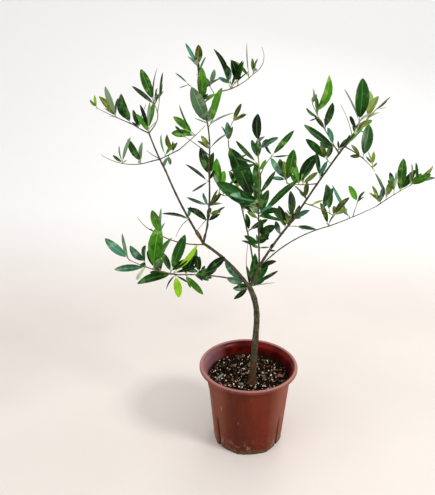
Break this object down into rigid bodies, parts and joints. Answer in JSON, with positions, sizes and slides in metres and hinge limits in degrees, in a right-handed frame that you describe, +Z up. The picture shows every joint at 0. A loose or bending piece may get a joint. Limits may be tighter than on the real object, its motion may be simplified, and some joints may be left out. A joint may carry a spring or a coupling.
{
  "type": "potted olive tree",
  "caption": "Young olive tree with a slim leaning trunk, open spreading boughs and narrow leaves, in a round flared nursery pot of soil.",
  "frame": {"origin": "centre of the pot's flat underside, on the surface that the pot stands on", "axes": "+Z up, -Y to the front, +X to the right as seen from the front"},
  "size_m": [0.4999, 0.3086, 0.5929],
  "materials": {
    "pot_plastic": "red-brown moulded plastic, semi-gloss, scuffed at the foot",
    "potting_mix": "dark peat with pale grit and bark crumbs",
    "bark": "smooth greenish grey-brown bark",
    "leaf": "leathery leaves, glossy dark green above and pale underneath"
  },
  "bodies": {
    "root": {"pot": "pot_plastic", "soil": "potting_mix", "trunk": "bark", "left_bough_low": "bark", "left_bough_middle": "bark", "left_bough_top": "bark", "middle_bough_low": "bark", "middle_bough_top": "bark", "leader_twig": "bark", "centre_stem": "bark", "centre_bough": "bark", "back_bough": "bark", "right_bough_low": "bark", "right_bough_middle": "bark", "right_bough_top": "bark", "right_shoot_low": "bark", "right_shoot_top": "bark", "low_left_twig": "bark", "left_side_twig": "bark", "far_left_twig": "bark", "low_side_twig": "bark", "inner_left_twig": "bark", "top_right_twig": "bark", "foliage_left_tip": "leaf", "foliage_left_top": "leaf", "foliage_left_side": "leaf", "foliage_left_inner": "leaf", "foliage_leader": "leaf", "foliage_top_right": "leaf", "foliage_middle_right": "leaf", "foliage_middle_left": "leaf", "foliage_middle_low_right": "leaf", "foliage_middle_low_left": "leaf", "foliage_back_top": "leaf", "foliage_back_low": "leaf", "foliage_centre": "leaf", "foliage_centre_top": "leaf", "foliage_centre_right": "leaf", "foliage_right_high": "leaf", "foliage_right_top": "leaf", "foliage_right_tip": "leaf", "foliage_right_drop": "leaf", "foliage_right_low": "leaf", "foliage_shoot_inner": "leaf", "foliage_shoot_outer": "leaf", "foliage_centre_low": "leaf", "foliage_fork": "leaf", "foliage_low_left_inner": "leaf", "foliage_low_left_outer": "leaf", "foliage_left_low": "leaf", "foliage_left_low_drop": "leaf", "foliage_centre_back": "leaf"}
  },
  "joints": []
}
